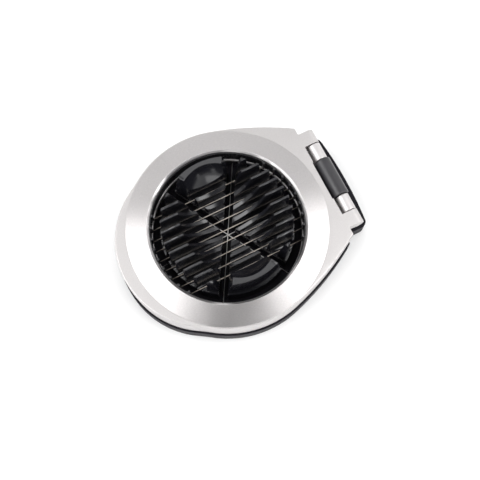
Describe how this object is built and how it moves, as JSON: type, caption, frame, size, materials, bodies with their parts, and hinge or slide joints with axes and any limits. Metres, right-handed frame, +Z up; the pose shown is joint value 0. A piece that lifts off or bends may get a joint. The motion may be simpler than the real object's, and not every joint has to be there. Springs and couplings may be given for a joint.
{
  "type": "egg slicer",
  "caption": "Round two-in-one egg cutter: ribbed black cradle in a base, with a slicing-wire frame stacked on a wedge-wire frame, both swinging up on one hinge.",
  "frame": {"origin": "middle of the base's plan box, on the surface that it stands on", "axes": "+X from the thumb lip to the hinge, along the slicing wires; +Y along the hinge pin; +Z up"},
  "size_m": [0.1226, 0.1006, 0.038],
  "materials": {
    "satin_metal": "satin, circular brushing",
    "bright_metal": "bright, polished knuckles",
    "black_gloss": "gloss moulded",
    "black_satin": "satin moulded",
    "wire_steel": "drawn stainless wire",
    "steel": "drawn"
  },
  "bodies": {
    "base": {"base": "black_gloss", "egg_cradle": "black_gloss", "hinge_pin": "steel"},
    "wedge_frame": {"wedge_frame": "bright_metal", "wedge_wire_ring": "black_satin", "wedge_wire_1": "wire_steel", "wedge_wire_2": "wire_steel", "wedge_wire_3": "wire_steel"},
    "slicing_frame": {"slicing_frame": "satin_metal", "slicing_wire_ring": "black_satin", "slicing_wire_1": "wire_steel", "slicing_wire_2": "wire_steel", "slicing_wire_3": "wire_steel", "slicing_wire_4": "wire_steel", "slicing_wire_5": "wire_steel", "slicing_wire_6": "wire_steel", "slicing_wire_7": "wire_steel", "slicing_wire_8": "wire_steel", "slicing_wire_9": "wire_steel"}
  },
  "joints": [
    {"name": "wedge_hinge", "type": "hinge", "parent": "base", "child": "wedge_frame", "pos_m": [0.0515, 0, 0.0228], "axis": [0, 1, 0], "range_deg": [0, 90]},
    {"name": "slicing_hinge", "type": "hinge", "parent": "wedge_frame", "child": "slicing_frame", "pos_m": [0.0515, 0, 0.0228], "axis": [0, 1, 0], "range_deg": [0, 90]}
  ]
}
